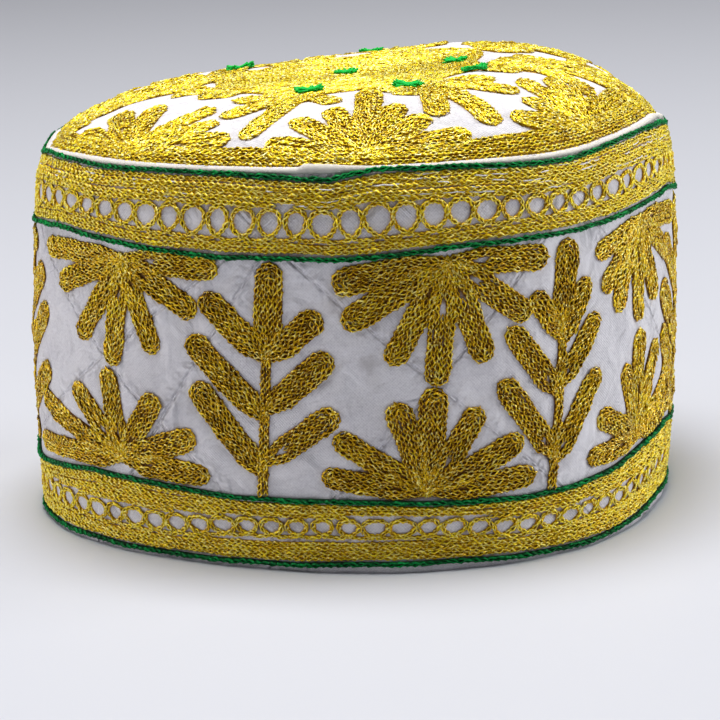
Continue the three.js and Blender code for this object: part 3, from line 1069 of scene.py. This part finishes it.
# A cloth shell: the shown face, the same face moved in by the cloth's thickness, and a
# strip that closes each edge
def clothShell(name, cloth, flats, columns, closes, material):
    thick = capShape["clothThick"]
    count = len(flats)
    grid = np.arange(count).reshape(-1, columns)
    ahead = np.roll(grid, -1, axis=1)
    quads = np.stack([grid[:-1], ahead[:-1], ahead[1:], grid[1:]], -1).reshape(-1, 4)
    faces = quads.tolist() + (quads[:, ::-1] + count).tolist()
    faces += np.stack([grid[0], grid[0] + count, ahead[0] + count, ahead[0]], -1).tolist()
    points = [cloth.point(flats), cloth.base(flats, -thick)]
    allFlats = [flats, flats]
    near = cloth.sample(cloth.near, flats)
    cover = [near, near * 0]
    if closes == "edges":
        faces += np.stack([grid[-1], ahead[-1], ahead[-1] + count, grid[-1] + count], -1).tolist()
    else:
        middle = np.array([[0.0, 0.0]])
        points += [cloth.point(middle), cloth.base(middle, -thick)]
        allFlats += [middle, middle]
        cover += [[1, 0]]
        faces += [[a, b, 2 * count] for a, b in zip(grid[-1], ahead[-1])]
        faces += [[b + count, a + count, 2 * count + 1] for a, b in zip(grid[-1], ahead[-1])]
    uv = np.concatenate(allFlats)[np.concatenate(faces)] * mm
    if closes == "edges":
        corners = uv.reshape(-1, 4, 2)
        laps = np.round((corners[:, :, 0] - corners[:, :1, 0]) / (girth * mm))
        corners[:, :, 0] -= laps * girth * mm
    mesh = patternedMesh(name, np.concatenate(points), faces, uv)
    mesh.attributes.new("cover", "FLOAT", "POINT").data.foreach_set("value", np.concatenate(cover))
    mesh.materials.append(material)
    return newPiece(name, mesh)


wallGrid = {"columns": 344, "rows": 68}
crownGrid = {"columns": 264, "rings": 50}


def makeWall():
    columns = wallGrid["columns"]
    heights = np.linspace(0, capShape["wallTop"], wallGrid["rows"])
    arcs = np.arange(columns) / columns * girth - girth / 2
    flats = np.array([(arc, height) for height in heights for arc in arcs])
    material = cottonMaterial("whiteCotton", True)
    return clothShell("sideWallCloth", wallCloth, flats, columns, "edges", material)


def makeCrown():
    columns, rings = crownGrid["columns"], crownGrid["rings"]
    turns = np.arange(columns) / columns * 2 * np.pi
    reaches = np.linspace(capShape["edgeBend"]["to"], 1 / rings, rings) * capShape["crownRadius"]
    flats = np.array([(reach * np.cos(turn), reach * np.sin(turn)) for reach in reaches for turn in turns])
    return clothShell("crownCloth", crownCloth, flats, columns, "pole", cottonMaterial("crownCotton", False))


# The white cord over the seam, with the thicker overlap where its ends meet. Its twist
# shows most where it is gathered, and its thickness wavers by share, length and phase
seamCord = {"radius": 0.8, "inset": 1.6, "sink": 2.4, "sides": 12, "columns": 700, "twistPitch": 2.6,
            "joinArc": -20.0, "overlap": 22.0, "overlapSwell": 0.85, "overlapInset": 0.5, "overlapRise": 0.6,
            "wavers": [(0.05, 3.1, 0), (0.04, 1.7, 1)], "gathered": (35, 150), "fade": 30,
            "twistDepth": 0.04, "gatheredDepth": 0.11}


def makeCord():
    columns, sides = seamCord["columns"], seamCord["sides"]
    arcs = np.arange(columns) / columns * girth - girth / 2
    angle = wallAngle(arcs)
    past = np.clip((arcs - seamCord["joinArc"]) / seamCord["overlap"], 0, 1)
    swell = (1 - past) ** 0.5 * np.clip(past * 10, 0, 1)
    inset = seamCord["inset"] + swell * seamCord["overlapInset"]
    x, y = offsetPoint(angle, 1.0, -inset)
    outX, outY = offsetPoint(angle, 1.0, 1.0 - inset)
    outward = np.stack([outX - x, outY - y, 0 * x], 1)
    waver = 1 + sum(share * np.sin(arcs / length + phase) for share, length, phase in seamCord["wavers"])
    radius = seamCord["radius"] * (1 + seamCord["overlapSwell"] * swell) * waver
    (start, end), fade = seamCord["gathered"], seamCord["fade"]
    gathered = np.clip((arcs - start) / fade, 0, 1) * np.clip((end - arcs) / fade, 0, 1)
    sink = seamCord["sink"] - swell * seamCord["overlapRise"] + capShape["seamDip"]["cord"] * dipShare(angle)
    middle = np.stack([x, y, capShape["seamHeight"] - seamDrop(angle) - sink], 1)
    rounds = np.arange(sides) / sides * 2 * np.pi
    twist = arcs[:, None] / seamCord["twistPitch"] * 2 * np.pi - rounds[None, :] * 2
    depth = seamCord["twistDepth"] + seamCord["gatheredDepth"] * gathered[:, None]
    thick = radius[:, None] * (1 + depth * np.sin(twist))
    points = middle[:, None] + thick[:, :, None] * (
        outward[:, None] * np.cos(rounds)[None, :, None]
        + np.array([0, 0, 1]) * np.sin(rounds)[None, :, None])
    grid = np.arange(columns * sides).reshape(columns, -1)
    ahead, above = np.roll(grid, -1, 0), np.roll(grid, -1, 1)
    faces = np.stack([grid, ahead, np.roll(ahead, -1, 1), above], -1).reshape(-1, 4)
    column, side = np.indices(grid.shape)
    corners = [np.stack([column + right, side + up], -1) for right, up in ((0, 0), (1, 0), (1, 1), (0, 1))]
    uv = np.stack(corners, 2).reshape(-1, 2) * [girth * mm / columns, 1.0 / sides]
    mesh = patternedMesh("seamCord", points.reshape(-1, 3), faces.tolist(), uv)
    mesh.materials.append(cordMaterial())
    return newPiece("seamCord", mesh)


pieces = {"wall": makeWall(), "crown": makeCrown(), "cord": makeCord()}
print("cloth made")

gold, litCrownGold, green, tuftGreen, white = [threadMaterial(name) for name in threadLooks]

# cloth, rows, kind of stitch, thread, seed and tone. The tone paints the same gold lighter in the borders and
# rings and darker in the flowers and sprays, as lit and shaded copies
stitchedPieces = {
    "upperBorderStitches": (wallCloth, upperRows, "gold", gold, 11, 1.5),
    "lowerBorderStitches": (wallCloth, lowerRows, "gold", gold, 12, 1.25),
    "ringStitches": (wallCloth, ringRows, "ring", gold, 21, 1.3),
    "hangingFlowerStitches": (wallCloth, hangingRows, "gold", gold, 13, 0.6),
    "risingFlowerStitches": (wallCloth, risingRows, "gold", gold, 14, 0.5),
    "leafSprayStitches": (wallCloth, sprayRows, "gold", gold, 15, 0.45),
    "greenLineStitches": (wallCloth, greenRows, "green", green, 16, 0.5),
    "crownMedallionStitches": (crownCloth, medallionRows, "gold", litCrownGold, 17, 0.7),
    "crownPetalStitches": (crownCloth, outerRows, "gold", litCrownGold, 18, 0.5),
    "crownFlowerStitches": (crownCloth, edgeRows, "gold", litCrownGold, 19, 0.5),
    "crownRimStitches": (crownCloth, rimRows, "gold", litCrownGold, 20, 0.5),
}
for name, work in stitchedPieces.items():
    pieces[name] = stitched(name, *work)

# cloth, the function that lays the threads, their radius, thread and seed
laidPieces = {
    "greenTufts": (crownCloth, tuftLines, tuftShape["radius"], tuftGreen, 31),
    "quiltingThread": (wallCloth, quiltStitches, whiteThreads["radius"], white, 32),
    "looseWhiteThread": (wallCloth, looseThreads, whiteThreads["looseRadius"], white, 33),
}
for name, (cloth, linesAndLifts, *rest) in laidPieces.items():
    pieces[name] = threaded(name, cloth, *linesAndLifts(), *rest)

standIns = {"wall": "side_wall", "crown": "crown", "cord": "seam_cord",
            "upperBorderStitches": "upper_border", "lowerBorderStitches": "lower_border",
            "crownMedallionStitches": "crown_medallion"}
for name, node in standIns.items():
    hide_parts(node)
print("stitches made")


# Studio: a pale floor, a broad light above, a low one at each side, a weak fill in front
studio = {
    "floorHalf": 2.5, "floorColour": (0.60, 0.615, 0.665, 1), "floorRoughness": 0.55,
    "aim": (0, 0, 0.06),
    "sky": (0.80, 0.78, 0.86, 1), "skyStrength": 0.10,
    # name, place, size, power, colour
    "lights": [
        ("keyLight", (-0.06, 0.02, 1.9), 0.9, 42.0, (1.0, 0.99, 0.98)),
        ("rightLight", (1.8, 0.1, 0.6), 0.8, 17.0, (0.97, 0.98, 1.0)),
        ("leftLight", (-1.8, -0.05, 0.55), 0.8, 11.0, (1.0, 0.97, 0.97)),
        ("frontLight", (0.3, -0.9, 1.5), 0.25, 0.4, (1.0, 0.98, 0.96)),
    ],
}


def makeStudio():
    half = studio["floorHalf"]
    mesh = bpy.data.meshes.new("floor")
    corners = [(-half, -half, 0), (half, -half, 0), (half, half, 0), (-half, half, 0)]
    mesh.from_pydata(corners, [], [(0, 1, 2, 3)])
    paint = {"Roughness": studio["floorRoughness"], "Base Color": studio["floorColour"]}
    mesh.materials.append(newMaterial("floorPaint", paint)[0])
    newObject("floor", mesh)
    for name, place, size, power, colour in studio["lights"]:
        data = bpy.data.lights.new(name, "AREA")
        data.size = size
        data.energy = power
        data.color = colour
        light = newObject(name, data)
        light.location = place
        aim = Vector(studio["aim"]) - Vector(place)
        light.rotation_euler = aim.to_track_quat("-Z", "Y").to_euler()
    world = bpy.data.worlds.new("studioWorld")
    bpy.context.scene.world = world
    world.use_nodes = True
    background = world.node_tree.nodes["Background"]
    background.inputs[0].default_value = studio["sky"]
    background.inputs[1].default_value = studio["skyStrength"]
    bpy.context.scene.view_settings.view_transform = "Standard"


makeStudio()
